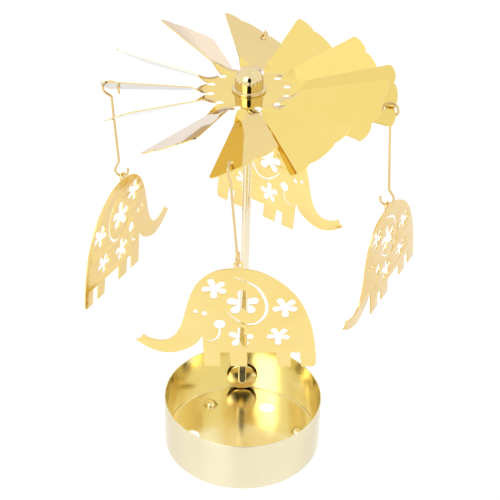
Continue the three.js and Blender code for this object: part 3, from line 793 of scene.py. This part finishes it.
# %% Draw the elephant's outline
elephant_length, elephant_height, elephant_sheet = 68.6, 45.3, 0.5
brow = [(0.07, 0.3), (0.136, 0.27), (0.197, 0.296), (0.236, 0.376), (0.258, 0.47), (0.28, 0.615),
        (0.302, 0.737), (0.335, 0.844), (0.383, 0.925), (0.436, 0.975), (0.506, 0.999)]
back = [(0.602, 0.995), (0.655, 0.98), (0.71, 0.943), (0.775, 0.88), (0.837, 0.796),
        (0.894, 0.686), (0.935, 0.559), (0.967, 0.415), (0.989, 0.236), (0.999, 0.097)]
feet = [(1, 0.03), (0.985, 0), (0.918, 0), (0.908, 0.15), (0.856, 0.15), (0.862, 0), (0.788, 0),
        (0.774, 0.148), (0.613, 0.146), (0.618, 0), (0.528, 0), (0.516, 0.145), (0.466, 0.144),
        (0.468, 0), (0.381, 0), (0.374, 0.135), (0.367, 0.318)]
chin = [(0.345, 0.262), (0.318, 0.219), (0.257, 0.168), (0.174, 0.143), (0.096, 0.177), (0.041, 0.228),
        (0, 0.28)]
trunk_tip = [(0.023, 0.285), (0.043, 0.332)]
tab_x, tab_radius, tab_rise = 0.557 * elephant_length, 1.9, 1.6
tab_z = elephant_height + tab_rise


def on_elephant(share):
    return share[0] * elephant_length, share[1] * elephant_height


def smooth_shares(shares, steps=6):
    return [(p.x, p.y) for p in smooth_line([(*on_elephant(s), 0) for s in shares], steps)]


tab_foot = math.degrees(math.acos(min(1, tab_rise / tab_radius)))
tab = arc((tab_x, tab_z), tab_radius, 270 - tab_foot, tab_foot - 90, 32)
outline = smooth_shares(brow) + tab + smooth_shares(back) + [on_elephant(s) for s in feet]
outline += smooth_shares(chin) + [on_elephant(s) for s in trunk_tip]
print("elephant outline:", len(outline), "points")

# %% Draw the pierced shapes
flowers = [((0.429, 0.801), (0.0685, 0.1038), (111, 36, -20, -92, 185)),
           ((0.585, 0.658), (0.0889, 0.1347), (95, 14, -45, -130, 170)),
           ((0.814, 0.618), (0.07, 0.106), (122, 42, -14, -85, 195)),
           ((0.785, 0.321), (0.0641, 0.0971), (124, 49, -11, -90, 186)),
           ((0.578, 0.305), (0.0714, 0.1082), (90, 5, -60, -125, 158))]
petal_shape = [(-27, 0.58), (-17, 0.88), (0, 1), (17, 0.88), (27, 0.58)]
valley_share = 0.37


def ellipse(centre, radius_x, radius_y, count=28):
    turns = [2 * math.pi * i / count for i in range(count)]
    return [(centre[0] + radius_x * math.cos(t), centre[1] + radius_y * math.sin(t)) for t in turns]


def flower(place, size, petals):
    """Rounded petals that meet in sharp valleys."""
    centre = on_elephant(place)
    petals = sorted((angle + 720) % 360 for angle in petals)
    points = []
    for petal, following in zip(petals, petals[1:] + [petals[0] + 360]):
        points += smooth_line([(*polar(share, petal + turn), 0) for turn, share in petal_shape], 4)
        points.append(Vector((*polar(valley_share, (petal + following) / 2), 0)))
    return [(centre[0] + p.x * size[0] * elephant_length, centre[1] + p.y * size[1] * elephant_height)
            for p in points]


def stroke(shares, width, thin_share):
    """Closed path round a line that is thin at its ends."""
    line = smooth_line([(*on_elephant(s), 0) for s in shares], 4)
    left, right = [], []
    for i, p in enumerate(line):
        ahead = (line[min(i + 1, len(line) - 1)] - line[max(i - 1, 0)]).normalized()
        half = width / 2 * (thin_share + (1 - thin_share) * math.sin(math.pi * i / (len(line) - 1)))
        left.append((p.x - ahead.y * half, p.y + ahead.x * half))
        right.insert(0, (p.x + ahead.y * half, p.y - ahead.x * half))
    return left + right


print("flowers:", len(flowers), "with", len(flowers[0][2]), "petals each")

# %% Gather the pierced shapes
ear_line = [(0.525, 0.918), (0.56, 0.899), (0.603, 0.87), (0.658, 0.817), (0.697, 0.727), (0.716, 0.626),
            (0.704, 0.523), (0.664, 0.454), (0.626, 0.438), (0.587, 0.452), (0.543, 0.498), (0.498, 0.569)]
smile = [(0.461, 0.4), (0.462, 0.36), (0.45, 0.3), (0.424, 0.268), (0.385, 0.264)]
eyes = [((0.329, 0.57), (0.0117, 0.0221)), ((0.378, 0.55), (0.014, 0.0265))]
cheek_place, cheek_radius = (0.461, 0.439), 2.2
ear_width, smile_width = 1.2, 0.9
paths = [outline, ellipse((tab_x, tab_z), tab_hole, tab_hole)] + [flower(*f) for f in flowers]
paths += [ellipse(on_elephant(place), *on_elephant(size)) for place, size in eyes]
paths.append(stroke(ear_line, ear_width, 0.3))
cheek = ellipse(on_elephant(cheek_place), cheek_radius, cheek_radius, 40)
mouth = stroke(smile, smile_width, 0.6)
print("pierced shapes:", len(paths) - 1, "and the cheek with its smile")

# %% [markdown]
# The curve is made a mesh while it still lies flat at the origin, and only then is stood up, with its tab
# hole at the origin, and carried to its hook. The cheek and the smile overlap, which a curve's fill would
# turn inside out, so these two alone are cut afterwards.

# %% Stamp a sheet from flat paths
def stamp(name, paths, thickness, edge):
    """Flat sheet with holes, standing in the XZ plane, its middle at Y zero, in millimetres."""
    curve = bpy.data.curves.new(name, "CURVE")
    curve.dimensions = "2D"
    curve.fill_mode = "BOTH"
    curve.extrude = thickness / 2 - edge
    curve.bevel_depth = edge
    curve.offset = -edge
    curve.bevel_resolution = 2 if edge else 0
    for path in paths:
        spline = curve.splines.new("POLY")
        spline.points.add(len(path) - 1)
        for point, (x, y) in zip(spline.points, path):
            point.co = (x, y, 0, 1)
        spline.use_cyclic_u = True
    flat = bpy.data.objects.new(name, curve)
    bpy.context.scene.collection.objects.link(flat)
    bpy.context.view_layer.update()
    mesh = bpy.data.meshes.new_from_object(flat.evaluated_get(bpy.context.evaluated_depsgraph_get()))
    bm = bmesh.new()
    bm.from_mesh(mesh)
    bpy.data.objects.remove(flat)
    bpy.data.meshes.remove(mesh)
    bmesh.ops.remove_doubles(bm, verts=bm.verts, dist=TINY)
    stood_up = Matrix.Rotation(radians(90), 4, "X") @ Matrix.Translation((-tab_x, -tab_z, 0))
    bmesh.ops.transform(bm, matrix=stood_up, verts=bm.verts)
    return bm


print("sheet thickness:", elephant_sheet, "mm")

# %% Make the elephants
polished_edge = 0.04
for number, side in enumerate(sides):
    place = hook_place(number) @ elephant_place(number)
    bm = stamp("elephant", paths, elephant_sheet, polished_edge)
    bmesh.ops.transform(bm, matrix=place, verts=bm.verts)
    elephant = add_object("stamping_" + side, bm, 30)
    cutters = []
    for path in (cheek, mouth):
        bm = stamp("cutter", [path], cutter_length, 0)
        bmesh.ops.transform(bm, matrix=place, verts=bm.verts)
        cutters.append(add_object("cutter", bm))
    combine(elephant, cutters, "DIFFERENCE", 30)
    elephant.data.materials.append(pendant_metal)
    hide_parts("elephant_" + side)
    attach(elephant, "elephant_" + side)
    report(elephant, "elephant_" + side)

# %% [markdown]
# ## Needle and bearing cup
# The needle's point in its cup is the whole bearing: a hard point in a hollow has so little friction that
# warm air can turn the fan. Both are hidden under the cap. New meshes would never be seen, so the frame's
# own solids stay and only get their hardened steel.

# %% Give the needle and the cup their steel
for name in ("pivot_needle", "bearing_cup"):
    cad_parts[name].data.materials.clear()
    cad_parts[name].data.materials.append(steel)
    print(name, "in", steel.name)

# %% [markdown]
# ## Table
# The carousel stands on a white table top. A white surface would need so much light to look white that the
# brass would burn out. So it is a mid grey with a soft gloss, and a glow of its own lifts it to white.
# The shadow under the tray still darkens the grey, and the gloss gives the tray's wall its light band.

# %% Make the table
table_half, table_drop, table_tone, table_rough = 2500, 0.02, 0.35, 0.3
glow_for_metal, glow_for_camera = 0.93, 0.88
bm = bmesh.new()
bmesh.ops.create_grid(bm, x_segments=1, y_segments=1, size=table_half)
bmesh.ops.translate(bm, vec=(0, 0, -table_drop), verts=bm.verts)
table = add_object("table", bm)
white = bpy.data.materials.new("white table")
white.use_nodes = True
tree = white.node_tree
surface = tree.nodes["Principled BSDF"]
surface.inputs["Base Color"].default_value = (table_tone, table_tone, table_tone, 1)
surface.inputs["Roughness"].default_value = table_rough
seen = tree.nodes.new("ShaderNodeLightPath").outputs["Is Camera Ray"]
glow = tree.nodes.new("ShaderNodeEmission")
tree.links.new(map_range(tree, seen, glow_for_metal, glow_for_camera, 0, 1), glow.inputs["Strength"])
together = tree.nodes.new("ShaderNodeAddShader")
tree.links.new(surface.outputs[0], together.inputs[0])
tree.links.new(glow.outputs[0], together.inputs[1])
tree.links.new(together.outputs[0], tree.nodes["Material Output"].inputs["Surface"])
table.data.materials.append(white)
print("table:", 2 * table_half * MM, "m wide")

# %% [markdown]
# ## Room
# Polished brass has no look of its own: it shows the room. Real screens and lamps round the object would
# do that, but a world is simpler to steer, because one direction is one place in it. The room is white
# all round, a little duller straight overhead and brighter beside it, where the right-hand blades look.
# A bright window stands at the front left, and a dark screen in front, which puts the dark lines into cap,
# washer and pole.

# %% Start the room
world = bpy.data.worlds.new("room")
bpy.context.scene.world = world
world.use_nodes = True
tree = world.node_tree
tree.nodes.clear()
direction = tree.nodes.new("ShaderNodeTexCoord").outputs["Generated"]


def towards(aim, spread, soft):
    """1 within spread degrees of a direction, falling to 0 over soft degrees."""
    dot = tree.nodes.new("ShaderNodeVectorMath")
    dot.operation = "DOT_PRODUCT"
    tree.links.new(direction, dot.inputs[0])
    dot.inputs[1].default_value = Vector(aim).normalized()
    near, far = math.cos(radians(spread)), math.cos(radians(spread + soft))
    return map_range(tree, dot.outputs["Value"], 0, 1, far, near)


window_aim = (-0.487, -0.67, 0.559)
wall_tone, ceiling_tone, blade_tone, window_tone = 1.10, 1.03, 1.19, 2.2
patches = [((0, 0, 1), 10, 25, [ceiling_tone] * 3), ((0.42, 0.10, 0.90), 6, 12, [blade_tone] * 3),
           (window_aim, 7, 16, [window_tone] * 3)]
screen_tone = (0.02, 0.018, 0.015)
for aim, spread, soft in (((0, -0.83, 0.56), 8, 6), ((0, -0.91, 0.41), 13, 5), ((0.04, -0.98, 0.18), 6, 5)):
    patches.append((aim, spread, soft, screen_tone))
room = [wall_tone] * 3
for aim, spread, soft, tone in patches:
    room = mix_colours(tree, towards(aim, spread, soft), room, tone)
print("patches of light and dark in the room:", len(patches))

# %% [markdown]
# The camera, the polished metal and the soft light on dull faces each ask the world in their own kind of
# ray. Light Path tells them apart: the camera sees plain white, glossy rays see the room with its
# patches, and all others get an even, weak light, so that nothing is lit more than it should be.

# %% Share the world out between the kinds of ray
soft_strength = 0.3
for_glossy = add_node(tree, "ShaderNodeBackground", Strength=1.0)
tree.links.new(room, for_glossy.inputs["Color"])
for_diffuse = add_node(tree, "ShaderNodeBackground", Color=(1, 1, 1, 1), Strength=soft_strength)
for_camera = add_node(tree, "ShaderNodeBackground", Color=(1, 1, 1, 1), Strength=1.0)
rays = tree.nodes.new("ShaderNodeLightPath")
shown = for_diffuse.outputs[0]
for kind, background in (("Is Glossy Ray", for_glossy), ("Is Camera Ray", for_camera)):
    choice = tree.nodes.new("ShaderNodeMixShader")
    tree.links.new(rays.outputs[kind], choice.inputs[0])
    tree.links.new(shown, choice.inputs[1])
    tree.links.new(background.outputs[0], choice.inputs[2])
    shown = choice.outputs[0]
output = tree.nodes.new("ShaderNodeOutputWorld")
tree.links.new(shown, output.inputs["Surface"])
print("soft light from the room:", soft_strength)

# %% [markdown]
# ## Lamp
# One soft square lamp stands where the room has its window, at the front left. A sun would throw hard edges
# and a point lamp small hot spots, while a square lamp gives the tray its wide, soft shine.

# %% Set up the lamp
lamp_distance, lamp_width, lamp_height, lamp_power = 0.7, 0.36, 0.3, 0.5
lamp = bpy.data.lights.new("front left lamp", "AREA")
lamp.shape = "RECTANGLE"
lamp.size = lamp_width
lamp.size_y = lamp_height
lamp.energy = lamp_power
hung_lamp = bpy.data.objects.new("front left lamp", lamp)
aim = Vector(window_aim).normalized()
middle_of_carousel = Vector((0, 0.02, 0.08))
hung_lamp.matrix_world = Matrix.Translation(middle_of_carousel + aim * lamp_distance) \
    @ aim.to_track_quat("Z", "Y").to_matrix().to_4x4()
bpy.context.scene.collection.objects.link(hung_lamp)
print("lamp:", lamp_power, "W at", lamp_distance, "m")

# %% [markdown]
# ## Camera
# The camera stands where the photograph was taken from, so that the two can be laid over each other. Its
# place could be tried by eye, but then no outline would ever quite meet. These values were measured from
# the tray's round edges and the fan, and the focal length is kept in pixels of the photograph's width.

# %% Place the camera
yaw, pitch_down, roll = radians(1.2218), radians(34.134), radians(1.5009)
focal, picture_width, sensor_width = 1409.59, 500, 36
camera_place = Vector((-8.231, -450.136, 400.414)) * MM
forward = Vector((math.sin(yaw) * math.cos(pitch_down), math.cos(yaw) * math.cos(pitch_down),
                  -math.sin(pitch_down)))
right = Vector((math.cos(yaw), -math.sin(yaw), 0))
up = right.cross(forward)
right, up = (right * math.cos(roll) + up * math.sin(roll), up * math.cos(roll) - right * math.sin(roll))
camera = bpy.data.objects.new("camera", bpy.data.cameras.new("camera"))
bpy.context.scene.collection.objects.link(camera)
axes = Matrix((right, up, -forward)).transposed().to_4x4()
camera.matrix_world = Matrix.Translation(camera_place) @ axes
camera.data.sensor_width = sensor_width
camera.data.lens = focal / picture_width * sensor_width
camera.data.clip_start = 0.01
camera.data.clip_end = 20
bpy.context.scene.camera = camera
bpy.context.scene.view_settings.view_transform = "Standard"
print("lens:", round(camera.data.lens, 2), "mm")
